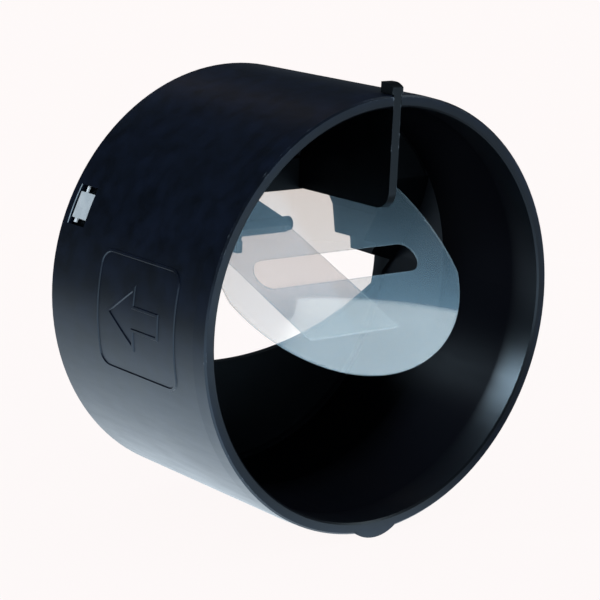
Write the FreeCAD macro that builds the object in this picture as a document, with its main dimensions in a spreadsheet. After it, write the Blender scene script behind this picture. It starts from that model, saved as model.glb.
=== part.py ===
import FreeCAD, Part
import math
import os
import Sketcher

# Extract air regulator for a 125 mm duct: a black sleeve that slides into the duct, and in it
# a carrier with a translucent flap that air swings back against a damping leaf.
# Millimetres. Y runs along the duct from the room side to the back, Z is up, X to the right.
# The origin is on the duct's axis, half way along the sleeve. Depths count back from the front rim.

os.makedirs("parts", exist_ok=True)
doc = FreeCAD.newDocument("ExtractAirRegulator")
sheet = doc.addObject("Spreadsheet::Sheet", "Sizes")

SIZES = [
    # sleeve
    ("sleeve_length", 73.7),
    ("outer_radius", 62.0),
    ("sleeve_wall", 3.5),
    ("recess_wall", 1.8),
    ("shoulder_setback", 0.6),
    ("rim_chamfer", 0.5),
    ("rim_taper", 0.2),
    ("rim_band_gap", 0.2),
    ("stop_pad_half_width", 7.5),
    ("stop_pad_root", 1.0),
    ("stop_pad_height", 1.5),
    ("stop_pad_length", 4.5),
    ("window_angle", 66.2),
    ("window_back_edge", 3.5),
    ("window_length", 7.7),
    ("window_width", 11.7),
    # carrier
    ("carrier_gap", 0.15),
    ("carrier_end_gap", 0.2),
    ("carrier_wall", 1.15),
    ("ring_length", 4.3),
    ("seat_angle", 36.5),
    ("seat_offset", 1.3),
    ("baffle_setback", 1.6),
    ("baffle_thickness", 2.0),
    ("baffle_rise", 0.7),
    ("lip_end_wall", 1.2),
    ("lip_height", 10.6),
    ("lip_drop", 0.7),
    ("sill_height", -28.2),
    ("sill_radius", 104.0),
    ("sill_thickness", 2.3),
    ("cheek_side_gap", 1.1),
    ("cheek_lean_height", 23.5),
    ("cheek_lean", 4.0),
    ("cheek_face_top", 16.4),
    ("cheek_face_lean", 1.4),
    ("upper_tread_height", 7.4),
    ("tread_width", 6.4),
    ("tread_fall", 1.9),
    ("riser_height", 3.8),
    ("riser_lean", 0.4),
    ("lower_tread_fall", 3.6),
    ("cavity_side_wall", 1.6),
    ("cavity_width", 6.1),
    ("cavity_floor", 3.1),
    ("cavity_roof", 0.6),
    ("cavity_front_wall", 2.2),
    ("web_thickness", 2.7),
    ("web_setback", 2.8),
    ("web_front_length", 12.0),
    ("web_front_rise", 8.0),
    ("web_low_gap", 2.0),
    ("foot_half_width", 6.5),
    ("foot_low_rise", 4.0),
    ("foot_thickness", 2.0),
    ("foot_back_edge", 2.05),
    # latch blocks
    ("latch_side_gap", 2.05),
    ("latch_front_gap", 0.1),
    ("latch_back_gap", 0.7),
    ("latch_root", 1.3),
    ("latch_sink", 0.15),
    ("latch_gap", 0.1),
    # flap
    ("pivot_depth", 41.6),
    ("pivot_height", 30.9),
    ("flap_angle", 45.4),
    ("film_thickness", 0.6),
    ("bead_radius", 1.0),
    ("bead_gap", 0.08),
    ("bead_end_gap", 0.3),
    ("flap_top_half_width", 33.9),
    ("flap_neck", 1.8),
    ("flap_side_bulge", 2.6),
    ("flap_shoulder_half_width", 41.6),
    ("flap_shoulder_distance", 35.5),
    ("flap_length", 64.4),
    ("slot_distance", 28.45),
    ("slot_width", 9.6),
    ("slot_length", 59.0),
    # flap clamp
    ("clamp_thickness", 2.4),
    ("clamp_height", 8.0),
    ("clamp_joint_gap", 0.05),
    ("clamp_lip_angle", 23.0),
    ("screw_rise", 5.0),
    ("screw_spacing", 12.0),
    ("screw_end_edge", 7.4),
    ("screw_head_radius", 1.8),
    ("screw_head_height", 1.1),
    ("screw_head_edge", 0.44),
    ("screw_head_flat", 1.08),
    ("screw_radius", 0.9),
    ("screw_length", 4.8),
    ("screw_hole_gap", 0.1),
    ("cross_length", 2.2),
    ("cross_width", 0.5),
    ("cross_depth", 0.55),
    # leaf and its bracket
    ("leaf_pivot_height", 13.5),
    ("leaf_angle", 20.8),
    ("leaf_length", 57.7),
    ("leaf_half_width", 16.4),
    ("leaf_corner", 0.8),
    ("barrel_radius", 2.2),
    ("barrel_end_wall", 1.0),
    ("barrel_reach", 0.9),
    ("mouth_angle", 69.0),
    ("bracket_thickness", 2.0),
    ("bracket_joint_gap", 0.05),
    ("bracket_drop", 2.9),
    ("bracket_side_rise", 0.9),
    ("bracket_neck_rise", 7.7),
    ("bracket_screw_rise", 10.5),
    ("bracket_screw_pitch", 6.0),
    ("bracket_screw_edge", 3.0),
    ("rib_half_width", 1.0),
    ("rib_drop", 7.8),
    # guide fin
    ("fin_thickness", 2.7),
    ("fin_drop", 0.5),
    ("fin_rear_gap", 0.3),
    ("fin_corner", 5.0),
    ("fin_top_gap", 0.3),
    ("tongue_drop", 6.2),
    ("tongue_height", 6.0),
    ("fin_slot_gap", 0.1),
    ("lug_width", 3.8),
    ("lug_front_height", 1.8),
    ("lug_height", 3.0),
    ("lug_crest", 3.2),
    ("lug_crest_bulge", 0.3),
    ("lug_length", 4.9),
    ("lug_overlap", 0.2),
    ("notch_gap", 0.1),
]
for row, (alias, value) in enumerate(SIZES, start=1):
    sheet.set("A%d" % row, alias.replace("_", " "))
    sheet.set("B%d" % row, str(value))
    sheet.setAlias("B%d" % row, alias)
doc.recompute()


class Size:
    """A size with its value and its formula in the sheet's names."""

    def __init__(self, value, text):
        self.value = value
        self.text = text

    def __add__(self, other):
        other = as_size(other)
        return Size(self.value + other.value, "(%s + %s)" % (self.text, other.text))

    def __sub__(self, other):
        other = as_size(other)
        return Size(self.value - other.value, "(%s - %s)" % (self.text, other.text))

    def __mul__(self, other):
        other = as_size(other)
        return Size(self.value * other.value, "(%s * %s)" % (self.text, other.text))

    def __truediv__(self, other):
        other = as_size(other)
        return Size(self.value / other.value, "(%s / %s)" % (self.text, other.text))

    def __neg__(self):
        return Size(-self.value, "(0 - %s)" % self.text)


def as_size(number):
    return number if isinstance(number, Size) else Size(float(number), repr(float(number)))


def size(alias):
    return Size(float(sheet.get(alias)), "Sizes.%s" % alias)


def root(square):
    return Size(math.sqrt(square.value), "sqrt(%s)" % square.text)


def sine(angle):
    return Size(math.sin(math.radians(angle.value)), "sin(%s * 1 deg)" % angle.text)


def cosine(angle):
    return Size(math.cos(math.radians(angle.value)), "cos(%s * 1 deg)" % angle.text)


def tangent(angle):
    return sine(angle) / cosine(angle)


def chord_half(radius, height):
    """Half the chord of a circle at a height over its centre."""
    return root(radius * radius - height * height)


# Bodies, sketches and features

def new_body(name):
    body = doc.addObject("PartDesign::Body", name)
    body.Label = name
    return body


def origin_plane(body, role):
    return [item for item in body.Origin.OriginFeatures if item.Role == role][0]


def new_sketch(body, name, role, offset=None, turn=None, turn_axis=None, shift=None):
    """A sketch on an origin plane, moved along its normal by offset, or turned and then shifted."""
    sketch = body.newObject("Sketcher::SketchObject", name)
    sketch.AttachmentSupport = [(origin_plane(body, role), "")]
    sketch.MapMode = "FlatFace"
    if offset is not None:
        sketch.AttachmentOffset = FreeCAD.Placement(FreeCAD.Vector(0, 0, offset.value), FreeCAD.Rotation())
        sketch.setExpression("AttachmentOffset.Base.z", offset.text)
    if turn is not None:
        along = shift or (as_size(0), as_size(0), as_size(0))
        sketch.AttachmentOffset = FreeCAD.Placement(
            FreeCAD.Vector(*[item.value for item in along]),
            FreeCAD.Rotation(turn_axis, turn.value),
        )
        sketch.setExpression("AttachmentOffset.Rotation.Angle", turn.text)
        for letter, item in zip("xyz", along):
            sketch.setExpression("AttachmentOffset.Base.%s" % letter, item.text)
    return sketch


def across(body, name, place):
    """A sketch across the duct at a Y: its x is X and its y is Z."""
    return new_sketch(body, name, "XZ_Plane", offset=-place)


def fix(sketch, kind, geometry, position, label, value):
    index = sketch.addConstraint(Sketcher.Constraint(kind, -1, 1, geometry, position, value.value))
    sketch.renameConstraint(index, label)
    sketch.setExpression("Constraints.%s" % label, value.text)


def set_radius(sketch, geometry, label, value):
    index = sketch.addConstraint(Sketcher.Constraint("Radius", geometry, value.value))
    sketch.renameConstraint(index, label)
    sketch.setExpression("Constraints.%s" % label, value.text)


def arc_between(start, end, radius, counterclockwise, large):
    """The arc of a radius from start to end, with the ends that the sketch gives it."""
    along = end - start
    half = along.Length / 2
    rise = math.sqrt(max(radius * radius - half * half, 0.0))
    left = FreeCAD.Vector(-along.y, along.x, 0).normalize()
    side = 1 if counterclockwise != large else -1
    centre = (start + end) * 0.5 + left * (rise * side)
    first, last = (start, end) if counterclockwise else (end, start)
    angles = [math.atan2(point.y - centre.y, point.x - centre.x) for point in (first, last)]
    circle = Part.Circle(centre, FreeCAD.Vector(0, 0, 1), radius)
    return Part.ArcOfCircle(circle, angles[0], angles[1])


def draw(sketch, corners, arcs=None, half_turns=(), tag=""):
    """A closed outline through corners. arcs gives, by the number of the corner that one
    starts at, its radius, whether it runs counterclockwise and whether it is over a half circle.
    half_turns lists the corners that start a counterclockwise half circle to one above or below."""
    arcs = arcs or {}
    points = [FreeCAD.Vector(x.value, y.value, 0) for x, y in corners]
    ends = []
    for number, start in enumerate(points):
        end = points[(number + 1) % len(points)]
        if number in arcs:
            radius, counterclockwise, large = arcs[number]
            index = sketch.addGeometry(arc_between(start, end, radius.value, counterclockwise, large))
            ends.append((index, 1, 2) if counterclockwise else (index, 2, 1))
        elif number in half_turns:
            radius = (end - start).Length / 2
            index = sketch.addGeometry(arc_between(start, end, radius, True, False))
            ends.append((index, 1, 2))
        else:
            index = sketch.addGeometry(Part.LineSegment(start, end))
            ends.append((index, 1, 2))
    for number, (index, first, last) in enumerate(ends):
        after, after_first, after_last = ends[(number + 1) % len(ends)]
        sketch.addConstraint(Sketcher.Constraint("Coincident", index, last, after, after_first))
    for number, (x, y) in enumerate(corners):
        index, first, last = ends[number]
        fix(sketch, "DistanceX", index, first, "x%s%d" % (tag, number), x)
        fix(sketch, "DistanceY", index, first, "y%s%d" % (tag, number), y)
        if number in arcs:
            set_radius(sketch, index, "r%s%d" % (tag, number), arcs[number][0])
        elif number in half_turns:
            fix(sketch, "DistanceX", index, 3, "c%s%d" % (tag, number), x)
    return sketch


def draw_box(sketch, x0, x1, y0, y1, tag=""):
    return draw(sketch, [(x0, y0), (x1, y0), (x1, y1), (x0, y1)], tag=tag)


def draw_circle(sketch, x, y, radius, tag=""):
    centre = FreeCAD.Vector(x.value, y.value, 0)
    index = sketch.addGeometry(Part.Circle(centre, FreeCAD.Vector(0, 0, 1), radius.value))
    fix(sketch, "DistanceX", index, 3, "x%s" % tag, x)
    fix(sketch, "DistanceY", index, 3, "y%s" % tag, y)
    set_radius(sketch, index, "r%s" % tag, radius)
    return sketch


def extrude(body, kind, name, sketch, length, reverse=False, middle=False):
    feature = body.newObject(kind, name)
    feature.Profile = sketch
    feature.Length = length.value
    feature.setExpression("Length", length.text)
    feature.Reversed = reverse
    feature.Midplane = middle
    sketch.Visibility = False
    return feature


def pad(body, name, sketch, length, reverse=False, middle=False):
    return extrude(body, "PartDesign::Pad", name, sketch, length, reverse, middle)


def pocket(body, name, sketch, length, reverse=False, middle=False):
    """A cut that runs the way a pad would, and has to take something away."""
    doc.recompute()
    before = body.Shape.Volume
    feature = extrude(body, "PartDesign::Pocket", name, sketch, length, not reverse, middle)
    doc.recompute()
    if before - body.Shape.Volume < 1e-6:
        raise RuntimeError("%s cuts nothing" % name)
    return feature


def mirror_sides(body, name, features):
    """The same features on the other side of the plane X = 0."""
    feature = body.newObject("PartDesign::Mirrored", name)
    feature.Originals = features
    feature.MirrorPlane = (origin_plane(body, "YZ_Plane"), [""])
    body.Tip = feature
    return feature


def revolve(body, name, sketch):
    """A full turn about the sketch's own vertical axis."""
    feature = body.newObject("PartDesign::Revolution", name)
    feature.Profile = sketch
    feature.ReferenceAxis = (sketch, ["V_Axis"])
    feature.Angle = 360.0
    sketch.Visibility = False
    return feature


def place(body, x=None, y=None, z=None, turn=None):
    """Puts a body at a point, turned about X."""
    body.Placement = FreeCAD.Placement(
        FreeCAD.Vector(*[(item or as_size(0)).value for item in (x, y, z)]),
        FreeCAD.Rotation(FreeCAD.Vector(1, 0, 0), turn.value if turn else 0.0),
    )
    for letter, item in zip("xyz", (x, y, z)):
        if item is not None:
            body.setExpression("Placement.Base.%s" % letter, item.text)
    if turn is not None:
        body.setExpression("Placement.Rotation.Angle", turn.text)


# Places that several pieces share

DUCT_AXIS = FreeCAD.Vector(0, 1, 0)
FRONT = -size("sleeve_length") / 2
BACK = size("sleeve_length") / 2
OUTER_RADIUS = size("outer_radius")
BORE_RADIUS = OUTER_RADIUS - size("sleeve_wall")
RECESS_RADIUS = OUTER_RADIUS - size("recess_wall")

# the flap's pivot, with the clamp before it and the lip, the baffle and the seat behind it
PIVOT_Y = FRONT + size("pivot_depth")
PIVOT_Z = size("pivot_height")
CLAMP_FRONT = PIVOT_Y - size("clamp_thickness")
LIP_FRONT = PIVOT_Y + size("clamp_joint_gap")
BAFFLE_FRONT = PIVOT_Y + size("baffle_setback")
BAFFLE_BACK = BAFFLE_FRONT + size("baffle_thickness")
SHOULDER = PIVOT_Y - size("shoulder_setback")
SEAT_TOP_Y = PIVOT_Y + size("seat_offset")
SEAT_TOP_Z = PIVOT_Z - size("seat_offset")
BEAD_HALF_LENGTH = size("flap_top_half_width")
GROOVE_HALF_LENGTH = BEAD_HALF_LENGTH + size("bead_end_gap")
LIP_HALF_LENGTH = GROOVE_HALF_LENGTH + size("lip_end_wall")
GROOVE_RADIUS = size("bead_radius") + size("bead_gap")

CARRIER_RADIUS = RECESS_RADIUS - size("carrier_gap")
CARRIER_BORE = CARRIER_RADIUS - size("carrier_wall")
CARRIER_ROOT = CARRIER_RADIUS - size("carrier_wall") / 2
CARRIER_FRONT = SHOULDER + size("carrier_gap")
CARRIER_BACK = BACK - size("carrier_end_gap")

# the foot, the leaf's bracket before it and the leaf's pivot before that
FOOT_BACK = CARRIER_BACK - size("foot_back_edge")
FOOT_FRONT = FOOT_BACK - size("foot_thickness")
BRACKET_BACK = FOOT_FRONT - size("bracket_joint_gap")
BRACKET_FRONT = BRACKET_BACK - size("bracket_thickness")
LEAF_PIVOT_Y = BRACKET_FRONT - size("barrel_reach")
LEAF_PIVOT_Z = size("leaf_pivot_height")
LEAF_GROOVE_HALF_LENGTH = size("leaf_half_width") + size("bead_end_gap")
BARREL_HALF_LENGTH = LEAF_GROOVE_HALF_LENGTH + size("barrel_end_wall")

# the latch blocks stand in windows of the sleeve
WINDOW_BACK = BACK - size("window_back_edge")
WINDOW_FRONT = WINDOW_BACK - size("window_length")
LATCH_FRONT = WINDOW_FRONT + size("latch_front_gap")
LATCH_BACK = WINDOW_BACK - size("latch_back_gap")
LATCH_HALF_WIDTH = size("window_width") / 2 - size("latch_side_gap")
LATCH_INNER_RADIUS = CARRIER_BORE - size("latch_root")

SCREW_HOLE_RADIUS = size("screw_radius") + size("screw_hole_gap")
SCREW_LEVEL = PIVOT_Z + size("screw_rise")
SCREW_PLACES = [
    ("flap_clamp_screw_1", size("screw_end_edge") - LIP_HALF_LENGTH),
    ("flap_clamp_screw_2", -size("screw_spacing")),
    ("flap_clamp_screw_3", size("screw_spacing")),
    ("flap_clamp_screw_4", LIP_HALF_LENGTH - size("screw_end_edge")),
]
BRACKET_SCREW_LOW = LEAF_PIVOT_Z + size("bracket_screw_rise")
BRACKET_SCREW_HIGH = BRACKET_SCREW_LOW + size("bracket_screw_pitch")
BRACKET_SCREWS = [
    ("leaf_bracket_screw_1", BRACKET_SCREW_LOW),
    ("leaf_bracket_screw_2", BRACKET_SCREW_HIGH),
]
BRACKET_TOP = BRACKET_SCREW_HIGH + size("bracket_screw_edge")

FIN_TOP = BORE_RADIUS - size("fin_top_gap")
TONGUE_HIGH = FIN_TOP - size("tongue_drop")
TONGUE_LOW = TONGUE_HIGH - size("tongue_height")


def seat_y(height):
    """The Y of the sloping seat at a height, on its front face."""
    return SEAT_TOP_Y + (SEAT_TOP_Z - height) * tangent(size("seat_angle"))


def bulge_radius(half_chord_squared, rise):
    """The radius of an arc that rises over a chord."""
    return (half_chord_squared + rise * rise) / (rise * 2)


# Duct sleeve

def make_sleeve():
    body = new_body("duct_sleeve")
    chamfer = size("rim_chamfer")
    taper = size("rim_taper")
    outer = OUTER_RADIUS
    band = FRONT + size("lug_length") + size("rim_band_gap")
    wall = new_sketch(body, "sleeve_section", "XY_Plane")
    draw(wall, [
        (BORE_RADIUS + chamfer, FRONT),
        (outer - taper - chamfer, FRONT),
        (outer - taper, FRONT + chamfer),
        (outer, band),
        (outer, BACK - chamfer),
        (outer - chamfer, BACK),
        (RECESS_RADIUS, BACK),
        (RECESS_RADIUS, SHOULDER),
        (BORE_RADIUS, SHOULDER),
        (BORE_RADIUS, FRONT + chamfer),
    ])
    revolve(body, "sleeve_wall", wall)

    # a low pad under the rim and the notch for the fin at its top
    root_level = size("stop_pad_root") - outer
    half = size("stop_pad_half_width")
    rise = size("stop_pad_root") + size("stop_pad_height")
    stop = across(body, "stop_pad_outline", FRONT)
    draw(stop, [(-half, root_level), (half, root_level)], arcs={
        1: (bulge_radius(half * half, rise), False, False),
    })
    pad(body, "stop_pad", stop, size("stop_pad_length"), reverse=True)

    notch = across(body, "notch_outline", FRONT)
    half = size("fin_thickness") / 2 + size("notch_gap")
    draw_box(notch, -half, half, BORE_RADIUS - chamfer, outer + chamfer)
    pocket(body, "notch", notch, size("lug_length") - size("lug_overlap") + size("notch_gap"), reverse=True)

    # a window each side, through which the carrier's latch shows
    window = new_sketch(body, "window_outline", "XY_Plane", turn=size("window_angle"), turn_axis=DUCT_AXIS)
    half = size("window_width") / 2
    draw_box(window, -half, half, WINDOW_FRONT, WINDOW_BACK)
    cut = pocket(body, "window", window, outer + chamfer)
    mirror_sides(body, "window_other_side", [cut])
    return body


# Carrier: hood, ring, seat cheeks, baffle, web and sill in one moulding

def make_carrier():
    body = new_body("regulator_carrier")
    shell = across(body, "shell_outline", CARRIER_FRONT)
    draw_circle(shell, as_size(0), as_size(0), CARRIER_RADIUS, "outer")
    draw_circle(shell, as_size(0), as_size(0), CARRIER_BORE, "inner")
    pad(body, "shell", shell, CARRIER_BACK - CARRIER_FRONT, reverse=True)

    # a stepped cheek each side, from the baffle down to the ring
    inner = LIP_HALF_LENGTH + size("cheek_side_gap")
    face = inner + size("cheek_lean")
    face_foot = face + size("cheek_face_lean")
    riser_top = face_foot + size("tread_width")
    tread = size("upper_tread_height")
    riser_top_level = tread - size("tread_fall")
    riser_foot_level = riser_top_level - size("riser_height")
    wall_level = riser_foot_level - size("lower_tread_fall")
    cheek = across(body, "cheek_outline", BAFFLE_FRONT)
    draw(cheek, [
        (chord_half(CARRIER_ROOT, wall_level), wall_level),
        (inner, chord_half(CARRIER_ROOT, inner)),
        (inner, size("cheek_lean_height")),
        (face, size("cheek_face_top")),
        (face_foot, tread),
        (riser_top, riser_top_level),
        (riser_top + size("riser_lean"), riser_foot_level),
    ], arcs={0: (CARRIER_ROOT, True, False)})
    block = pad(body, "cheek", cheek, CARRIER_BACK - BAFFLE_FRONT, reverse=True)
    mirror_sides(body, "cheek_other_side", [block])

    # everything before the sloping seat is open, down to the ring at the back
    ring_front = CARRIER_BACK - size("ring_length")
    margin = size("carrier_wall")
    open_front = CARRIER_FRONT - margin
    low = -CARRIER_RADIUS - margin
    ring_seat_level = SEAT_TOP_Z - (ring_front - SEAT_TOP_Y) / tangent(size("seat_angle"))
    slope = new_sketch(body, "seat_cut_outline", "YZ_Plane")
    draw(slope, [
        (open_front, low),
        (ring_front, low),
        (ring_front, ring_seat_level),
        (SEAT_TOP_Y, SEAT_TOP_Z),
        (open_front, SEAT_TOP_Z),
    ])
    pocket(body, "seat_cut", slope, (CARRIER_RADIUS + margin) * 2, middle=True)

    # a cavity in each cheek, open at the back, behind a wall that follows the seat
    cavity_inner = face_foot + size("cavity_side_wall")
    cavity_low = tread + size("cavity_floor")
    cavity_high = SEAT_TOP_Z - size("cavity_roof")
    wall = size("cavity_front_wall") / cosine(size("seat_angle"))
    cavity = new_sketch(body, "cavity_outline", "YZ_Plane", offset=cavity_inner)
    draw(cavity, [
        (seat_y(cavity_low) + wall, cavity_low),
        (CARRIER_BACK + margin, cavity_low),
        (CARRIER_BACK + margin, cavity_high),
        (seat_y(cavity_high) + wall, cavity_high),
    ])
    hollow = pocket(body, "cavity", cavity, size("cavity_width"))
    mirror_sides(body, "cavity_other_side", [hollow])

    # the baffle closes the top of the duct, over the lip that holds the flap's bead
    level = PIVOT_Z + size("baffle_rise")
    baffle = across(body, "baffle_outline", BAFFLE_FRONT)
    half = chord_half(CARRIER_ROOT, level)
    draw(baffle, [(-half, level), (half, level)], arcs={1: (CARRIER_ROOT, True, False)})
    pad(body, "baffle", baffle, size("baffle_thickness"), reverse=True)

    lip = new_sketch(body, "lip_outline", "YZ_Plane")
    draw_box(lip, LIP_FRONT, BAFFLE_BACK, PIVOT_Z - size("lip_drop"), PIVOT_Z + size("lip_height"))
    pad(body, "lip", lip, LIP_HALF_LENGTH * 2, middle=True)

    groove = new_sketch(body, "groove_outline", "YZ_Plane")
    draw_circle(groove, PIVOT_Y, PIVOT_Z, GROOVE_RADIUS)
    pocket(body, "groove", groove, GROOVE_HALF_LENGTH * 2, middle=True)

    holes = across(body, "clamp_screw_holes", LIP_FRONT)
    for name, x in SCREW_PLACES:
        draw_circle(holes, x, SCREW_LEVEL, SCREW_HOLE_RADIUS, name[-1])
    pocket(body, "clamp_screw_pilots", holes, BAFFLE_BACK - LIP_FRONT, reverse=True)

    slot = across(body, "tongue_slot_outline", BAFFLE_FRONT)
    half = size("fin_thickness") / 2 + size("fin_slot_gap")
    draw_box(slot, -half, half, TONGUE_LOW - size("fin_slot_gap"), TONGUE_HIGH + size("fin_slot_gap"))
    pocket(body, "tongue_slot", slot, size("baffle_thickness"), reverse=True)

    # the web under the hood and the foot that carries the leaf's bracket
    web_front = BAFFLE_BACK + size("web_setback")
    web_low = BRACKET_TOP + size("web_low_gap")
    web = new_sketch(body, "web_outline", "YZ_Plane")
    draw(web, [
        (web_front, web_low + size("web_front_rise")),
        (web_front + size("web_front_length"), web_low),
        (FOOT_BACK, web_low),
        (FOOT_BACK, CARRIER_ROOT),
        (web_front, CARRIER_ROOT),
    ])
    pad(body, "web", web, size("web_thickness"), middle=True)
    foot = across(body, "foot_outline", FOOT_FRONT)
    draw_box(foot, -size("foot_half_width"), size("foot_half_width"), LEAF_PIVOT_Z + size("foot_low_rise"),
             web_low + size("foot_thickness"))
    pad(body, "foot", foot, size("foot_thickness"), reverse=True)
    pilots = across(body, "foot_screw_holes", FOOT_FRONT)
    for name, height in BRACKET_SCREWS:
        draw_circle(pilots, as_size(0), height, SCREW_HOLE_RADIUS, name[-1])
    pocket(body, "foot_screw_pilots", pilots, size("foot_thickness"), reverse=True)

    # the sill closes the foot of the outlet under a shallow arc
    sill_radius = size("sill_radius")
    rise = sill_radius + size("sill_height")
    meet = (CARRIER_ROOT * CARRIER_ROOT + rise * rise - sill_radius * sill_radius) / (rise * 2)
    half = chord_half(CARRIER_ROOT, meet)
    sill = across(body, "sill_outline", CARRIER_BACK - size("sill_thickness"))
    draw(sill, [(-half, meet), (half, meet)], arcs={
        0: (sill_radius, True, False),
        1: (CARRIER_ROOT, False, False),
    })
    pad(body, "sill", sill, size("sill_thickness"), reverse=True)

    # a recess each side for the latch block
    gap = size("latch_gap")
    radius = LATCH_INNER_RADIUS - gap
    angle = size("window_angle")
    recess = new_sketch(body, "latch_recess_outline", "XY_Plane", turn=angle, turn_axis=DUCT_AXIS,
                        shift=(radius * sine(angle), as_size(0), radius * cosine(angle)))
    half = LATCH_HALF_WIDTH + gap
    draw_box(recess, -half, half, LATCH_FRONT - gap, LATCH_BACK + gap)
    cut = pocket(body, "latch_recess", recess, CARRIER_RADIUS - radius + gap)
    mirror_sides(body, "latch_recess_other_side", [cut])
    return body


# Latch blocks, which stand in the carrier and show in the sleeve's windows

def make_latch(name, side):
    body = new_body(name)
    angle = size("window_angle") * side
    radius = LATCH_INNER_RADIUS
    outline = new_sketch(body, name + "_outline", "XY_Plane", turn=angle, turn_axis=DUCT_AXIS,
                         shift=(radius * sine(angle), as_size(0), radius * cosine(angle)))
    draw_box(outline, -LATCH_HALF_WIDTH, LATCH_HALF_WIDTH, LATCH_FRONT, LATCH_BACK)
    pad(body, name + "_block", outline, OUTER_RADIUS - size("latch_sink") - radius)
    return body


# Guide fin with the lug that stops the sleeve at the duct's end

def make_fin():
    body = new_body("guide_fin")
    low = PIVOT_Z - size("fin_drop")
    rear = CLAMP_FRONT - size("fin_rear_gap")
    crown = OUTER_RADIUS + size("notch_gap")
    neck = FRONT + size("lug_length") - size("lug_overlap")
    corner = size("fin_corner")
    plate = new_sketch(body, "fin_outline", "YZ_Plane")
    draw(plate, [
        (FRONT + corner, low),
        (rear, low),
        (rear, TONGUE_LOW),
        (BAFFLE_BACK, TONGUE_LOW),
        (BAFFLE_BACK, TONGUE_HIGH),
        (rear, TONGUE_HIGH),
        (rear, FIN_TOP),
        (neck, FIN_TOP),
        (neck, crown),
        (FRONT, crown),
        (FRONT, low + corner),
    ], arcs={10: (corner, True, False)})
    pad(body, "fin_plate", plate, size("fin_thickness"), middle=True)

    crest = size("lug_crest")
    climb = size("lug_height") - size("lug_front_height")
    crest_radius = bulge_radius((crest * crest + climb * climb) / 4, size("lug_crest_bulge"))
    head = new_sketch(body, "lug_outline", "YZ_Plane")
    draw(head, [
        (FRONT, crown),
        (FRONT + size("lug_length"), crown),
        (FRONT + size("lug_length"), crown + size("lug_height")),
        (FRONT + crest, crown + size("lug_height")),
        (FRONT, crown + size("lug_front_height")),
    ], arcs={3: (crest_radius, True, False)})
    pad(body, "lug", head, size("lug_width"), middle=True)
    return body


# Clamp that closes the groove over the flap's bead

def make_clamp():
    body = new_body("flap_clamp")
    joint = PIVOT_Y - size("clamp_joint_gap")
    top = PIVOT_Z + size("clamp_height")
    fall = size("clamp_thickness") * tangent(size("clamp_lip_angle"))
    profile = new_sketch(body, "clamp_outline", "YZ_Plane")
    draw(profile, [(CLAMP_FRONT, PIVOT_Z - fall), (joint, PIVOT_Z), (joint, top), (CLAMP_FRONT, top)])
    pad(body, "clamp_bar", profile, LIP_HALF_LENGTH * 2, middle=True)
    groove = new_sketch(body, "clamp_groove_outline", "YZ_Plane")
    draw_circle(groove, PIVOT_Y, PIVOT_Z, GROOVE_RADIUS)
    pocket(body, "clamp_groove", groove, GROOVE_HALF_LENGTH * 2, middle=True)
    holes = across(body, "clamp_holes_outline", CLAMP_FRONT)
    for name, x in SCREW_PLACES:
        draw_circle(holes, x, SCREW_LEVEL, SCREW_HOLE_RADIUS, name[-1])
    pocket(body, "clamp_holes", holes, joint - CLAMP_FRONT, reverse=True)
    return body


# Flap: a translucent sheet with a round bead along its top edge

def make_flap():
    body = new_body("flap")
    neck = size("flap_neck")
    half = BEAD_HALF_LENGTH
    shoulder = size("flap_shoulder_half_width")
    reach = size("flap_shoulder_distance")
    across_side = shoulder - half
    along_side = reach - neck
    side_half_squared = (across_side * across_side + along_side * along_side) / 4
    side = bulge_radius(side_half_squared, size("flap_side_bulge"))
    end = bulge_radius(shoulder * shoulder, size("flap_length") - reach)
    outline = new_sketch(body, "flap_outline", "XY_Plane", offset=-size("film_thickness") / 2)
    draw(outline, [
        (-half, as_size(0)),
        (half, as_size(0)),
        (half, neck),
        (shoulder, reach),
        (-shoulder, reach),
        (-half, neck),
    ], arcs={2: (side, True, False), 3: (end, True, False), 4: (side, True, False)})
    pad(body, "flap_sheet", outline, size("film_thickness"))
    round_end = size("slot_width") / 2
    straight = size("slot_length") / 2 - round_end
    middle = size("slot_distance")
    slot = new_sketch(body, "slot_outline", "XY_Plane")
    draw(slot, [
        (-straight, middle - round_end),
        (straight, middle - round_end),
        (straight, middle + round_end),
        (-straight, middle + round_end),
    ], half_turns=(1, 3))
    pocket(body, "slot", slot, size("film_thickness") * 2, middle=True)
    bead = new_sketch(body, "bead_outline", "YZ_Plane")
    draw_circle(bead, as_size(0), as_size(0), size("bead_radius"))
    pad(body, "bead", bead, half * 2, middle=True)
    place(body, y=PIVOT_Y, z=PIVOT_Z, turn=size("flap_angle") + 180)
    return body


# Damping leaf: a straight translucent strip behind the flap

def make_leaf():
    body = new_body("damping_leaf")
    half = size("leaf_half_width")
    end = size("leaf_length")
    corner = size("leaf_corner")
    strip = new_sketch(body, "leaf_outline", "XY_Plane", offset=-size("film_thickness") / 2)
    draw(strip, [
        (-half, as_size(0)),
        (half, as_size(0)),
        (half, end - corner),
        (half - corner, end),
        (corner - half, end),
        (-half, end - corner),
    ], arcs={2: (corner, True, False), 4: (corner, True, False)})
    pad(body, "leaf_strip", strip, size("film_thickness"))
    bead = new_sketch(body, "leaf_bead_outline", "YZ_Plane")
    draw_circle(bead, as_size(0), as_size(0), size("bead_radius"))
    pad(body, "leaf_bead", bead, half * 2, middle=True)
    place(body, y=LEAF_PIVOT_Y, z=LEAF_PIVOT_Z, turn=size("leaf_angle") + 180)
    return body


# Bracket whose barrel holds the leaf's bead

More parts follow.
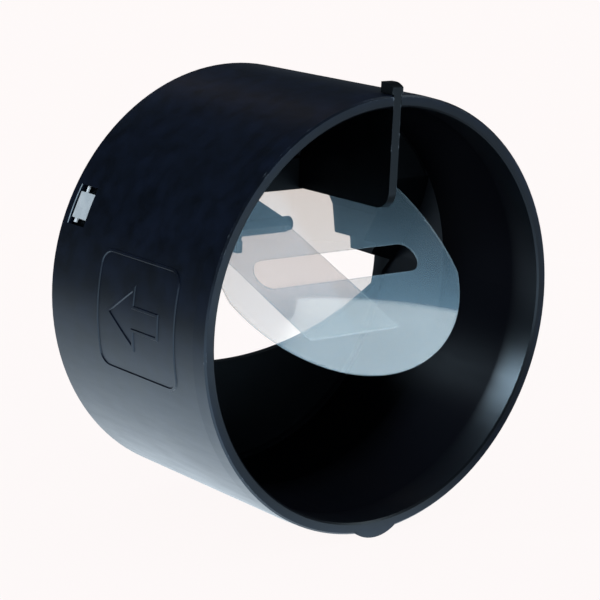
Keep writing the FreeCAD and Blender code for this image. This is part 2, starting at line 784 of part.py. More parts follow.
def make_bracket():
    body = new_body("leaf_bracket")
    half = BARREL_HALF_LENGTH
    neck = size("foot_half_width")
    rib = size("rib_half_width")
    low = LEAF_PIVOT_Z - size("bracket_drop")
    rib_low = LEAF_PIVOT_Z - size("rib_drop")
    side_level = LEAF_PIVOT_Z + size("bracket_side_rise")
    neck_level = LEAF_PIVOT_Z + size("bracket_neck_rise")
    plate = across(body, "bracket_outline", BRACKET_FRONT)
    draw(plate, [
        (-half, low),
        (-rib, low),
        (-rib, rib_low),
        (rib, rib_low),
        (rib, low),
        (half, low),
        (half, side_level),
        (neck, neck_level),
        (neck, BRACKET_TOP),
        (-neck, BRACKET_TOP),
        (-neck, neck_level),
        (-half, side_level),
    ])
    pad(body, "bracket_plate", plate, size("bracket_thickness"), reverse=True)

    y = LEAF_PIVOT_Y
    z = LEAF_PIVOT_Z
    barrel = new_sketch(body, "barrel_outline", "YZ_Plane")
    draw_circle(barrel, y, z, size("barrel_radius"))
    pad(body, "barrel", barrel, half * 2, middle=True)

    # the groove and the mouth that the leaf swings in stop at the barrel's end walls
    groove = new_sketch(body, "leaf_groove_outline", "YZ_Plane")
    draw_circle(groove, y, z, GROOVE_RADIUS)
    pocket(body, "leaf_groove", groove, LEAF_GROOVE_HALF_LENGTH * 2, middle=True)
    reach = size("barrel_radius") * 2
    angle = size("mouth_angle")
    mouth = new_sketch(body, "mouth_outline", "YZ_Plane")
    draw(mouth, [
        (y, z),
        (y - reach, z),
        (y - reach, z - reach * sine(angle)),
        (y + reach * cosine(angle), z - reach * sine(angle)),
    ])
    pocket(body, "mouth", mouth, LEAF_GROOVE_HALF_LENGTH * 2, middle=True)

    holes = across(body, "bracket_holes_outline", BRACKET_FRONT)
    for name, height in BRACKET_SCREWS:
        draw_circle(holes, as_size(0), height, SCREW_HOLE_RADIUS, name[-1])
    pocket(body, "bracket_holes", holes, size("bracket_thickness"), reverse=True)
    return body


# Small cross-head screws

def make_screw(name, x, y, z):
    """A screw whose head lies on a face at y and points to the front."""
    body = new_body(name)
    head = size("screw_head_radius")
    rise = size("screw_head_height")
    shank = size("screw_radius")
    section = new_sketch(body, name + "_section", "XY_Plane")
    draw(section, [
        (as_size(0), -rise),
        (size("screw_head_flat"), -rise),
        (head, -size("screw_head_edge")),
        (head, as_size(0)),
        (shank, as_size(0)),
        (shank, size("screw_length") - shank),
        (as_size(0), size("screw_length")),
    ])
    revolve(body, name + "_turned", section)
    half = size("cross_length") / 2
    thin = size("cross_width") / 2
    cross = across(body, name + "_cross_outline", -rise)
    draw(cross, [
        (-half, -thin), (-thin, -thin), (-thin, -half), (thin, -half),
        (thin, -thin), (half, -thin), (half, thin), (thin, thin),
        (thin, half), (-thin, half), (-thin, thin), (-half, thin),
    ])
    pocket(body, name + "_cross", cross, size("cross_depth"), reverse=True)
    place(body, x=x, y=y, z=z)
    return body


bodies = [
    make_sleeve(),
    make_carrier(),
    make_latch("latch_left", -1),
    make_latch("latch_right", 1),
    make_fin(),
    make_clamp(),
    make_flap(),
    make_leaf(),
    make_bracket(),
]
for screw_name, screw_x in SCREW_PLACES:
    bodies.append(make_screw(screw_name, screw_x, CLAMP_FRONT, SCREW_LEVEL))
for screw_name, screw_z in BRACKET_SCREWS:
    bodies.append(make_screw(screw_name, as_size(0), BRACKET_FRONT, screw_z))
doc.recompute()

# Nothing is written unless every object is sound
for item in doc.Objects:
    if "Invalid" in item.State or "Error" in item.State:
        raise RuntimeError("%s failed: %s" % (item.Name, item.State))
for body in bodies:
    shape = body.Shape
    if shape.isNull() or not shape.isValid() or not shape.Solids:
        raise RuntimeError("%s has no sound solid" % body.Label)
for body in bodies:
    body.Shape.exportStep("parts/%s.step" % body.Label)
    print("%-24s solids %d  volume %.1f" % (body.Label, len(body.Shape.Solids), body.Shape.Volume))
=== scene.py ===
import bpy
import bmesh
import math
from mathutils import Matrix, Vector


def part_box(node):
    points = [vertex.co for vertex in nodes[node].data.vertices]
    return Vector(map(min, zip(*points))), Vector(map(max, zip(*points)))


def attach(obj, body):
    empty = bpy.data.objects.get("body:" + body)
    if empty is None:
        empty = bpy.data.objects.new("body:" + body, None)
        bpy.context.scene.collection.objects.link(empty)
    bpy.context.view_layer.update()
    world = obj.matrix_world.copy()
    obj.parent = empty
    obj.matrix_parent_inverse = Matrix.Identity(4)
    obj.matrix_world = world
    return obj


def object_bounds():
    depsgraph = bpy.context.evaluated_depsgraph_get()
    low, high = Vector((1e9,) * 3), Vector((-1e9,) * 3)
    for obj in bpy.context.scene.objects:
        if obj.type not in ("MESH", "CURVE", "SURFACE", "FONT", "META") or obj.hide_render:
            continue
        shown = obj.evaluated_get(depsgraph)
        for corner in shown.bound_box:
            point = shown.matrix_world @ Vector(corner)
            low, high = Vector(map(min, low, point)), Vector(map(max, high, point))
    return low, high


# The looks of an extract air regulator: black moulded plastic, translucent film, pale latches.
# Metres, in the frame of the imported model: Y runs to the back of the duct and Z is up.

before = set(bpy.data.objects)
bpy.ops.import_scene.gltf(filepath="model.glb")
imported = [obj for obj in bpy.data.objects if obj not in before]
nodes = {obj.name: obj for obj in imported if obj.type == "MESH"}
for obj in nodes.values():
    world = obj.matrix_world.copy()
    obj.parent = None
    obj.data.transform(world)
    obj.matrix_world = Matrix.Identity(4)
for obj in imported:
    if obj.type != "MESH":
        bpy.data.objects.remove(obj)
cad_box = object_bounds()

SLEEVE_LOW, SLEEVE_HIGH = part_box("duct_sleeve")
SLEEVE_RADIUS = SLEEVE_HIGH.x
FRONT = SLEEVE_LOW.y
BACK = SLEEVE_HIGH.y


# Camera

CAMERA_AT = Vector((-0.38268, -0.46807, 0.13607))
CAMERA_AZIMUTH = math.radians(39.21)
CAMERA_ELEVATION = math.radians(-12.90)
CAMERA_ROLL = math.radians(2.51)
CAMERA_LENS = 128.84
CAMERA_SENSOR = 36.0
CAMERA_CLIP = (0.01, 20.0)


def link(thing):
    bpy.context.scene.collection.objects.link(thing)


def make_camera():
    camera = bpy.data.objects.new("camera", bpy.data.cameras.new("camera"))
    camera.data.lens = CAMERA_LENS
    camera.data.sensor_width = CAMERA_SENSOR
    camera.data.clip_start, camera.data.clip_end = CAMERA_CLIP
    level = math.cos(CAMERA_ELEVATION)
    forward = Vector((level * math.sin(CAMERA_AZIMUTH), level * math.cos(CAMERA_AZIMUTH),
                      math.sin(CAMERA_ELEVATION)))
    roll = Matrix.Rotation(CAMERA_ROLL, 4, "Z")
    turn = forward.to_track_quat("-Z", "Y").to_matrix().to_4x4() @ roll
    camera.matrix_world = Matrix.Translation(CAMERA_AT) @ turn
    link(camera)
    bpy.context.scene.camera = camera


# Node helpers

class Nodes:
    """A material's or the world's node tree, with short calls to add and link nodes."""

    def __init__(self, tree):
        self.tree = tree
        tree.nodes.clear()

    def add(self, kind, inputs=None, **settings):
        node = self.tree.nodes.new(kind)
        for name, value in settings.items():
            setattr(node, name, value)
        for name, value in (inputs or {}).items():
            self.put(node.inputs[name], value)
        return node

    def put(self, socket, value):
        if isinstance(value, bpy.types.NodeSocket):
            self.tree.links.new(value, socket)
        else:
            socket.default_value = value

    def fill(self, node, *values):
        for socket, value in zip(node.inputs, values):
            self.put(socket, value)
        return node

    def math(self, operation, a, b=0.0):
        return self.fill(self.add("ShaderNodeMath", operation=operation), a, b).outputs[0]

    def sum(self, first, *others):
        for other in others:
            first = self.math("ADD", first, other)
        return first

    def product(self, first, *others):
        for other in others:
            first = self.math("MULTIPLY", first, other)
        return first

    def measure(self, operation, *vectors):
        """The number that a vector operation gives: LENGTH, DISTANCE or DOT_PRODUCT."""
        node = self.fill(self.add("ShaderNodeVectorMath", operation=operation), *vectors)
        return node.outputs["Value"]

    def part(self, vector, letter):
        return self.add("ShaderNodeSeparateXYZ", {"Vector": vector}).outputs[letter]

    def along(self, vector, x_share, y_share):
        """How far a place lies along a level direction."""
        return self.sum(self.product(self.part(vector, "X"), x_share),
                        self.product(self.part(vector, "Y"), y_share))

    def range(self, value, low, high, to_low=0.0, to_high=1.0):
        node = self.add("ShaderNodeMapRange", {"Value": value, "From Min": low, "From Max": high,
                                               "To Min": to_low, "To Max": to_high})
        return node.outputs[0]

    def noise(self, place, scale, detail=3.0, roughness=0.5, stretch=(1.0, 1.0, 1.0)):
        mapping = self.add("ShaderNodeMapping", {"Vector": place, "Scale": stretch})
        node = self.add("ShaderNodeTexNoise", {"Vector": mapping.outputs[0], "Scale": scale,
                                               "Detail": detail, "Roughness": roughness})
        return node.outputs[0]

    def mix_colour(self, share, a, b):
        node = self.add("ShaderNodeMix", data_type="RGBA")
        self.put(node.inputs[0], share)
        self.put(node.inputs[6], a)
        self.put(node.inputs[7], b)
        return node.outputs[2]

    def mix_shader(self, share, a, b):
        return self.fill(self.add("ShaderNodeMixShader"), share, a, b).outputs[0]

    def seen_directly(self, path):
        """1 for what the camera sees, also through the film."""
        return self.math("MAXIMUM", path.outputs["Is Camera Ray"],
                         path.outputs["Is Transmission Ray"])

    def surface(self, shader):
        output = self.add("ShaderNodeOutputMaterial")
        self.put(output.inputs["Surface"], shader)


def new_material(name):
    material = bpy.data.materials.new(name)
    material.use_nodes = True
    return material, Nodes(material.node_tree)


# A span is the two values between which something changes evenly.
# A noise is given by its scale, detail, roughness and stretch.

NOISE_SPAN = (0.3, 0.7)


# Black plastic

PLASTIC_IOR = 1.5
PLASTIC_SHINE = 0.6
PLASTIC_TINT = (0.68, 0.85, 1.0, 1.0)
CLOUD = (28.0,)
GRAIN = (2600.0, 2.0)
SCUFF = (420.0, 4.0, 0.65, (1.0, 0.16, 1.0))
MOTTLE = (150.0, 4.0, 0.6)
MOTTLE_SPAN = (0.35, 0.65)
MOTTLE_SHARES = (0.45, 1.15)
SCUFF_GLOSS = (-0.02, 0.03)
CLOUD_GLOSS = (-0.02, 0.02)
GRAIN_BUMP = {"Strength": 0.12, "Distance": 0.00004}
CLOUD_BUMP = {"Strength": 0.16, "Distance": 0.0004}

WEAR_AND_GLINT_COLOUR = (0.20, 0.23, 0.26, 1.0)
WEAR_RADIUS = 0.0004
WEAR_SAMPLES = 4
WEAR_BEND_SPAN = (0.995, 0.90)
WEAR_DEPTH_SPAN = (FRONT + 0.0015, FRONT + 0.0030)
SPOTS = (700.0, 5.0, 0.7)
SPOT_SPAN = (0.5, 0.62)
PATCHES = (110.0, 2.0)
PATCH_SPAN = (0.47, 0.60)

# Painted shade: the inner wall darker than the outside, and darker still deep inside the duct.
BORE_PAINTED_SHADE = (0.0034, 0.0036, 0.0054, 1.0)
BORE_RADIUS_SPAN = (SLEEVE_RADIUS - 0.0008, SLEEVE_RADIUS - 0.0030)
BORE_GLOSS = 0.03
DULL_SPAN = (FRONT, FRONT + 0.011)
DULL_SHARE = 0.98
DEEP_PAINTED_SHADE = (0.0005, 0.0007, 0.0011, 1.0)
DEEP_SPAN = (FRONT + 0.03, FRONT + 0.045)
SEAT_RADIUS_SPAN = (SLEEVE_RADIUS - 0.0006, SLEEVE_RADIUS - 0.0014)
SEAT_DEPTH_SPAN = (FRONT + 0.02, FRONT + 0.03)
SEAT_HEIGHT_SPAN = (-0.010, -0.022)

SIDEWAYS_SPAN = (0.7, 0.95)
SIDE_HEIGHT_SPAN = (0.0595, 0.0575)
MATT_SPAN = (BACK - 0.004, BACK)
MATT_SHARE = 0.5


def worn_and_glint_specks(n, place, depth, shade, wear_and_glint):
    """Pale specks along the edges at the sleeve's front: wear, and on the fin's lug partly a
    painted glint.
    """
    rounded = n.add("ShaderNodeBevel", {"Radius": WEAR_RADIUS}, samples=WEAR_SAMPLES).outputs[0]
    normal = n.add("ShaderNodeNewGeometry").outputs["Normal"]
    bend = n.measure("DOT_PRODUCT", rounded, normal)
    edge = n.product(n.range(bend, *WEAR_BEND_SPAN), n.range(depth, *WEAR_DEPTH_SPAN, 1.0, 0.0))
    specks = n.product(n.range(n.noise(place, *SPOTS), *SPOT_SPAN),
                       n.range(n.noise(place, *PATCHES), *PATCH_SPAN))
    return n.mix_colour(n.product(edge, specks, wear_and_glint), shade, WEAR_AND_GLINT_COLOUR)


def side_level(n, place, side_shine):
    """The shine of faces that look left or right, below the sleeve's wall."""
    sideways = n.math("ABSOLUTE", n.part(n.add("ShaderNodeNewGeometry").outputs["Normal"], "X"))
    below = n.range(n.part(place, "Z"), *SIDE_HEIGHT_SPAN)
    return n.range(n.product(sideways, below), *SIDEWAYS_SPAN, PLASTIC_SHINE, side_shine)


def bore_painted_shade_and_gloss(n, place, depth, shade, gloss):
    """The inner wall's colour, gloss and shine: painted shade makes it darker than the outside
    and darker still deep inside, and it is dull away from the front.
    The wall is thinner where the carrier sits, so the lower part there has a mask of its own."""
    section = n.add("ShaderNodeCombineXYZ", {"X": n.part(place, "X"), "Y": n.part(place, "Z")})
    radius = n.measure("LENGTH", section.outputs[0])
    seat = n.product(n.range(radius, *SEAT_RADIUS_SPAN), n.range(depth, *SEAT_DEPTH_SPAN),
                     n.range(n.part(place, "Z"), *SEAT_HEIGHT_SPAN))
    inside = n.math("MAXIMUM", n.range(radius, *BORE_RADIUS_SPAN), seat)
    shade = n.mix_colour(inside, shade, BORE_PAINTED_SHADE)
    shade = n.mix_colour(n.product(inside, n.range(depth, *DEEP_SPAN)), shade, DEEP_PAINTED_SHADE)
    gloss = n.math("SUBTRACT", gloss, n.product(inside, BORE_GLOSS))
    dulled = n.product(inside, n.range(depth, *DULL_SPAN, 0.0, DULL_SHARE))
    level = n.math("SUBTRACT", PLASTIC_SHINE, n.product(dulled, PLASTIC_SHINE))
    return shade, gloss, level


def black_plastic(name, colour, roughness, wear_and_glint=0.0, bore=False, side_shine=None,
                  matt_inside=False):
    """Moulded black plastic: fine grain, faint flow marks and uneven gloss.
    wear_and_glint is the share of pale edge specks, partly painted glint; bore paints shade on
    the inner wall, side_shine is the fin's shine at its sides, and matt_inside halves the gloss
    of what lies before the sleeve's back end."""
    material, n = new_material(name)
    place = n.add("ShaderNodeTexCoord").outputs["Object"]
    depth = n.part(place, "Y")
    cloud = n.noise(place, *CLOUD)
    darker, lighter = (tuple(c * share for c in colour[:3]) + (1.0,) for share in MOTTLE_SHARES)
    shade = n.mix_colour(n.range(n.noise(place, *MOTTLE), *MOTTLE_SPAN), darker, lighter)
    if wear_and_glint:
        shade = worn_and_glint_specks(n, place, depth, shade, wear_and_glint)
    scuff_gloss = [roughness + change for change in SCUFF_GLOSS]
    gloss = n.sum(n.range(n.noise(place, *SCUFF), *NOISE_SPAN, *scuff_gloss),
                  n.range(cloud, *NOISE_SPAN, *CLOUD_GLOSS))
    level = PLASTIC_SHINE
    if side_shine is not None:
        level = side_level(n, place, side_shine)
    if bore:
        shade, gloss, level = bore_painted_shade_and_gloss(n, place, depth, shade, gloss)
    grain = n.add("ShaderNodeBump", {"Height": n.noise(place, *GRAIN), **GRAIN_BUMP})
    wave = n.add("ShaderNodeBump", {"Height": cloud, "Normal": grain.outputs[0], **CLOUD_BUMP})
    shader = n.add("ShaderNodeBsdfPrincipled", {
        "Base Color": shade, "Roughness": gloss, "IOR": PLASTIC_IOR, "Specular IOR Level": level,
        "Specular Tint": PLASTIC_TINT, "Normal": wave.outputs[0],
    }).outputs[0]
    if matt_inside:
        matt = n.add("ShaderNodeBsdfDiffuse", {"Color": shade, "Normal": wave.outputs[0]})
        matt_share = n.range(depth, *MATT_SPAN, MATT_SHARE, 0.0)
        shader = n.mix_shader(matt_share, shader, matt.outputs[0])
    n.surface(shader)
    return material


# Film

BLACK = (0.0, 0.0, 0.0, 1.0)
WHITE = (1.0, 1.0, 1.0, 1.0)
FILM_IOR = 1.6
FILM_GLOSS = (0.05, 0.07)
FILM_CLOUD = (60.0, 4.0, 0.6)
FILM_CLOUD_SHARES = (0.94, 1.0)
MILK_ROUGHNESS = 0.4
MILK_THROUGH = 0.35
LEFT_SPAN = (-0.004, -0.028)
LEFT_HEIGHT_SPAN = (-0.010, 0.004)
CUT_COLOUR = (0.60, 0.68, 0.70, 1.0)
CUT_SPAN = (0.85, 0.6)
CUT_SHARE = 0.15

# slope is in degrees, at rest. clear is the tint and the haze entry the share of milk, each at
# an upper and a lower height, both changing with height as painted light and shade, and the left
# entry is added to the milk at the upper left as painted light.
FLAP = {
    "slope": 45.4,
    "clear": ((0.008, (0.850, 0.818, 0.785, 1.0)), (-0.006, (0.875, 0.835, 0.795, 1.0))),
    "haze_and_shade": ((0.022, 0.52), (-0.004, 0.97)),
    "left_painted_light": 2.1,
    "milk": (0.138, 0.218, 0.272, 1.0),
}
LEAF = {
    "slope": 20.8,
    "clear": ((0.003, (0.895, 0.862, 0.845, 1.0)), (-0.004, (0.660, 0.620, 0.600, 1.0))),
    "haze_and_shade": ((0.010, 1.0), (-0.010, 1.0)),
    "left_painted_light": 0.0,
    "milk": (0.160, 0.200, 0.220, 1.0),
}


def film(name, look):
    """Translucent polyester sheet: see-through with a warm tint, milky blue where light falls
    on it, and paler at its cut edges. The edges are the faces that don't have its slope."""
    material, n = new_material(name)
    coordinates = n.add("ShaderNodeTexCoord")
    place = coordinates.outputs["Object"]
    height = n.part(place, "Z")
    cloud = n.noise(place, *FILM_CLOUD)

    # Painted light and shade: the milk changes with height and is raised at the upper left.
    (top, top_haze_and_shade), (bottom, bottom_haze_and_shade) = look["haze_and_shade"]
    amount = n.product(n.range(height, top, bottom, top_haze_and_shade, bottom_haze_and_shade),
                       n.range(cloud, *NOISE_SPAN, *FILM_CLOUD_SHARES))
    left = n.product(n.range(n.part(place, "X"), *LEFT_SPAN, 0.0, look["left_painted_light"]),
                     n.range(height, *LEFT_HEIGHT_SPAN))
    milk = n.mix_colour(n.sum(amount, left), BLACK, look["milk"])
    lit = n.add("ShaderNodeBsdfDiffuse", {"Color": milk, "Roughness": MILK_ROUGHNESS})
    through = n.add("ShaderNodeBsdfTranslucent", {"Color": milk})
    milky = n.mix_shader(MILK_THROUGH, lit.outputs[0], through.outputs[0])

    # Painted light and shade: the tint changes with height.
    (top, upper), (bottom, lower) = look["clear"]
    tint = n.mix_colour(n.range(height, top, bottom), upper, lower)
    clear = n.add("ShaderNodeBsdfTransparent", {"Color": tint})
    both = n.fill(n.add("ShaderNodeAddShader"), clear.outputs[0], milky)

    slope = math.radians(look["slope"])
    facing = n.measure("DOT_PRODUCT", coordinates.outputs["Normal"],
                       (0.0, math.sin(slope), -math.cos(slope)))
    edge = n.range(n.math("ABSOLUTE", facing), *CUT_SPAN)
    cut = n.add("ShaderNodeBsdfDiffuse", {"Color": CUT_COLOUR})
    body = n.mix_shader(n.product(edge, CUT_SHARE), both.outputs[0], cut.outputs[0])

    # A ray that leaves the sheet meets the inverse index.
    shine = n.add("ShaderNodeBsdfGlossy", {
        "Color": WHITE, "Roughness": n.range(cloud, *NOISE_SPAN, *FILM_GLOSS),
    })
    behind = n.add("ShaderNodeNewGeometry").outputs["Backfacing"]
    index = n.range(behind, 0.0, 1.0, FILM_IOR, 1.0 / FILM_IOR)
    fresnel = n.add("ShaderNodeFresnel", {"IOR": index})
    n.surface(n.mix_shader(fresnel.outputs[0], body, shine.outputs[0]))
    return material


# Pale plastic and steel

PALE_CLOUD = (300.0,)
PALE_GLOSS = (0.38, 0.5)
PALE_BUMP = {"Strength": 0.15, "Distance": 0.0001}
PALE_DEPTH = (0.001, 0.001, 0.001)
PALE_DEPTH_SHARE = 0.15
STEEL_MARKS = (5000.0, 2.0)
STEEL_COLOURS = ((0.48, 0.49, 0.50, 1.0), (0.66, 0.66, 0.65, 1.0))
STEEL_GLOSS = (0.25, 0.4)


def pale_plastic(name, colours):
    """Unpigmented plastic, a little waxy."""
    material, n = new_material(name)
    place = n.add("ShaderNodeTexCoord").outputs["Object"]
    cloud = n.noise(place, *PALE_CLOUD)
    shader = n.add("ShaderNodeBsdfPrincipled", {
        "Base Color": n.mix_colour(n.range(cloud, *NOISE_SPAN), *colours),
        "Roughness": n.range(cloud, *NOISE_SPAN, *PALE_GLOSS),
        "Subsurface Weight": PALE_DEPTH_SHARE, "Subsurface Radius": PALE_DEPTH,
        "Normal": n.add("ShaderNodeBump", {"Height": cloud, **PALE_BUMP}).outputs[0],
    })
    n.surface(shader.outputs[0])
    return material


def screw_steel():
    """Zinc-plated steel with fine turning marks."""
    material, n = new_material("screw_steel")
    place = n.add("ShaderNodeTexCoord").outputs["Object"]
    marks = n.noise(place, *STEEL_MARKS)
    shader = n.add("ShaderNodeBsdfPrincipled", {
        "Base Color": n.mix_colour(marks, *STEEL_COLOURS), "Metallic": 1.0,
        "Roughness": n.range(marks, *NOISE_SPAN, *STEEL_GLOSS),
    })
    n.surface(shader.outputs[0])
    return material


SLEEVE_BLACK = (0.0028, 0.0050, 0.0138, 1.0)
FIN_BLACK = (0.0010, 0.0013, 0.0018, 1.0)
CARRIER_BLACK = (0.0014, 0.0018, 0.0026, 1.0)
# Painted highlight: the pale grey of the lip along each window's back edge.
LIP_HIGHLIGHT_GREY = (0.32, 0.37, 0.40, 1.0)
LATCH_COLOURS = ((0.45, 0.46, 0.46, 1.0), (0.53, 0.53, 0.52, 1.0))
# Painted glints: the white of the small bars by the latch blocks.
GLINT_COLOURS = ((0.88, 0.88, 0.87, 1.0), (0.94, 0.94, 0.93, 1.0))


def dress(names, material):
    for name in names:
        data = nodes[name].data
        data.materials.clear()
        data.materials.append(material)


def make_materials():
    dress(["duct_sleeve"],
          black_plastic("sleeve_plastic", SLEEVE_BLACK, roughness=0.34, wear_and_glint=0.8, bore=True))
    # The fin's edge specks are strong so that the lug's front edge shows them: wear and a
    # painted glint.
    dress(["guide_fin"],
          black_plastic("fin_plastic", FIN_BLACK, roughness=0.32, wear_and_glint=1.0, side_shine=0.1))
    dress(["regulator_carrier", "flap_clamp", "leaf_bracket"],
          black_plastic("carrier_plastic", CARRIER_BLACK, roughness=0.42, matt_inside=True))
    dress(["flap"], film("flap_film", FLAP))
    dress(["damping_leaf"], film("leaf_film", LEAF))
    dress(["latch_left", "latch_right"], pale_plastic("pale_plastic", LATCH_COLOURS))
    dress([name for name in nodes if "screw" in name], screw_steel())


# Added pieces

def add_skin(mesh, rings, closed):
    """A skin over rings of points. When closed, the last ring joins the first;
    otherwise both end rings are capped."""
    rings = [[mesh.verts.new(point) for point in ring] for ring in rings]
    followers = rings[1:] + rings[:1] if closed else rings[1:]
    for ring, after in zip(rings, followers):
        for k in range(len(ring)):
            m = (k + 1) % len(ring)
            mesh.faces.new((ring[k], ring[m], after[m], after[k]))
    if not closed:
        mesh.faces.new(rings[0])
        mesh.faces.new(rings[-1])


def add_piece(name, skins, closed, material):
    build = bmesh.new()
    for rings in skins:
        add_skin(build, rings, closed)
    bmesh.ops.recalc_face_normals(build, faces=build.faces)
    mesh = bpy.data.meshes.new(name)
    build.to_mesh(mesh)
    build.free()
    mesh.materials.append(material)
    piece = bpy.data.objects.new(name, mesh)
    link(piece)
    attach(piece, "housing")


# The moulded mark: a plain airflow arrow in a rounded frame, raised on the sleeve's left side.
# Flat places on it are along the duct and up round the wall, from the mark's middle.

MARK_AT = -0.0049
MARK_HALF_LENGTH = 0.0180
MARK_HALF_HEIGHT = 0.0165
MARK_CORNER = 0.004
MARK_CORNER_STEPS = 6
MARK_ROUGHNESS = 0.32
ARROW_TAIL = -0.0105
ARROW_NECK = 0.0010
ARROW_TIP = 0.0125
ARROW_HALF_SHAFT = 0.0032
ARROW_HALF_HEAD = 0.0083
RIDGE_BASE = 0.0012
RIDGE_TOP = 0.0006
RIDGE_HEIGHT = 0.0003
RIDGE_SUNK = 0.0001
RIDGE_STEP = 0.001
RIDGE_PROFILE = ((RIDGE_BASE, -RIDGE_SUNK), (RIDGE_TOP, RIDGE_HEIGHT),
                 (-RIDGE_TOP, RIDGE_HEIGHT), (-RIDGE_BASE, -RIDGE_SUNK))


def rounded_frame():
    length = MARK_HALF_LENGTH - MARK_CORNER
    height = MARK_HALF_HEIGHT - MARK_CORNER
    points = []
    for corner, (side, up) in enumerate(((1, 1), (-1, 1), (-1, -1), (1, -1))):
        for step in range(MARK_CORNER_STEPS + 1):
            angle = math.radians(90.0 * (corner + step / MARK_CORNER_STEPS))
            points.append(Vector((side * length + MARK_CORNER * math.cos(angle),
                                  up * height + MARK_CORNER * math.sin(angle))))
    return points


def arrow():
    half = [(ARROW_TIP, 0.0), (ARROW_NECK, ARROW_HALF_HEAD), (ARROW_NECK, ARROW_HALF_SHAFT),
            (ARROW_TAIL, ARROW_HALF_SHAFT)]
    return [Vector(point) for point in half + [(u, -v) for u, v in reversed(half[1:])]]


def offsets(points):
    """How far each corner of a closed line moves to shift the line sideways by one unit."""
    moves = []
    for i, point in enumerate(points):
        before = (point - points[i - 1]).normalized()
        after = (points[(i + 1) % len(points)] - point).normalized()
        left = Vector((-before.y, before.x))
        right = Vector((-after.y, after.x))
        moves.append((left + right) / (1.0 + left.dot(right)))
    return moves


def divided(points, moves):
    """The same closed line and moves, with points close enough to follow the sleeve's curve."""
    out = []
    for i, point in enumerate(points):
        j = (i + 1) % len(points)
        count = max(1, math.ceil((points[j] - point).length / RIDGE_STEP))
        out += [(point.lerp(points[j], k / count), moves[i].lerp(moves[j], k / count))
                for k in range(count)]
    return out


def on_sleeve(flat, height):
    angle = flat.y / SLEEVE_RADIUS
    radius = SLEEVE_RADIUS + height
    return (-radius * math.cos(angle), MARK_AT + flat.x, radius * math.sin(angle))


def ridge_rings(points):
    return [[on_sleeve(point + move * width / 2, height) for width, height in RIDGE_PROFILE]
            for point, move in divided(points, offsets(points))]


def make_mark():
    plastic = black_plastic("mark_plastic", SLEEVE_BLACK, MARK_ROUGHNESS)
    add_piece("airflow_mark", [ridge_rings(rounded_frame()), ridge_rings(arrow())], True,
              plastic)


# The latch windows: white bars above and below the block that paint the glints there, and a pale
# grey lip along the window's back edge that paints a highlight

WINDOW_ANGLE = math.radians(66.2)
WINDOW_HALF_WIDTH = 0.00585
WINDOW_BACK = BACK - 0.0035
GLINT_RADII = (0.0606, 0.0611)
UPPER_GLINT = ((0.0037, 0.0058), (BACK - 0.0060, BACK - 0.0053))
LOWER_GLINT = ((-0.0050, -0.0037), (BACK - 0.0059, BACK - 0.0048))
LIP_HEIGHT = 0.0001
LIP_STEPS = 12
LIP_PROFILE = ((-RIDGE_SUNK, 0.0001), (LIP_HEIGHT, 0.0002), (LIP_HEIGHT, 0.0004),
               (-RIDGE_SUNK, 0.0005))
LIP_ROUGHNESS = 0.36


def window_place(side, radius, across, depth):
    """A place on a window's plane: radius from the axis, across towards the top."""
    return (side * (math.sin(WINDOW_ANGLE) * radius - math.cos(WINDOW_ANGLE) * across), depth,
            math.cos(WINDOW_ANGLE) * radius + math.sin(WINDOW_ANGLE) * across)


def glint_rings(side, ends, depths):
    low, high = GLINT_RADII
    front, back = depths
    corners = ((low, front), (high, front), (high, back), (low, back))
    return [[window_place(side, radius, across, depth) for radius, depth in corners]
            for across in ends]


def lip_rings(side):
    rings = []
    for k in range(LIP_STEPS + 1):
        across = WINDOW_HALF_WIDTH * (2.0 * k / LIP_STEPS - 1.0)
        level = math.sqrt(SLEEVE_RADIUS ** 2 - across ** 2)
        rings.append([window_place(side, level + height, across, WINDOW_BACK + depth)
                      for height, depth in LIP_PROFILE])
    return rings


def make_windows():
    # White bars above and below each latch block: painted glints.
    glint = pale_plastic("glint_plastic", GLINT_COLOURS)
    # A pale grey lip along each window's back edge: a painted highlight.
    lip_highlight = black_plastic("lip_highlight_plastic", LIP_HIGHLIGHT_GREY, LIP_ROUGHNESS)
    for label, side in (("left", -1.0), ("right", 1.0)):
        glints = [glint_rings(side, *UPPER_GLINT), glint_rings(side, *LOWER_GLINT)]
        add_piece("latch_glint_" + label, glints, False, glint)
        add_piece("window_lip_" + label, [lip_rings(side)], False, lip_highlight)


# Floor. The camera sees plain background there, and glossy surfaces mirror a glow that is
# uneven, as the light and dark parts of a studio are.

FLOOR_SIZE = 12.0
FLOOR_GAP = 0.0002
PAPER = (0.80, 0.80, 0.80, 1.0)
BACKGROUND = (0.992, 0.948, 0.944, 1.0)
COOL_WHITE = (0.80, 0.91, 1.0, 1.0)
SHADOW_SPAN = (0.12, 0.40)
SHADOW_SHARE = 0.02
CLOSE_SPAN = (0.05, 0.30)
CLOSE_POWER = 2.0
CLOSE_GLOW = 1.75
FAR_SPAN = (-0.10, 0.10)
FAR_GLOW = (1.3, 0.12)
AROUND_SPAN = (0.30, 0.42)
AROUND_GLOW = 0.52
# Painted shadow of the object in the glow: dimmer at the right side and darker in a patch before
# the object.
ASIDE = (0.90, 0.44)
ASIDE_SPAN = (0.0, 0.045)
ASIDE_SHARES = (1.0, 0.08)
SHADE_AT = (0.030, -0.130, SLEEVE_LOW.z)
SHADE_SPAN = (0.06, 0.12)
SHADE_SHARES = (0.25, 1.0)
AHEAD = (0.63, -0.77)
AHEAD_SPAN = (0.20, 0.32)
AHEAD_GLOW = 0.35


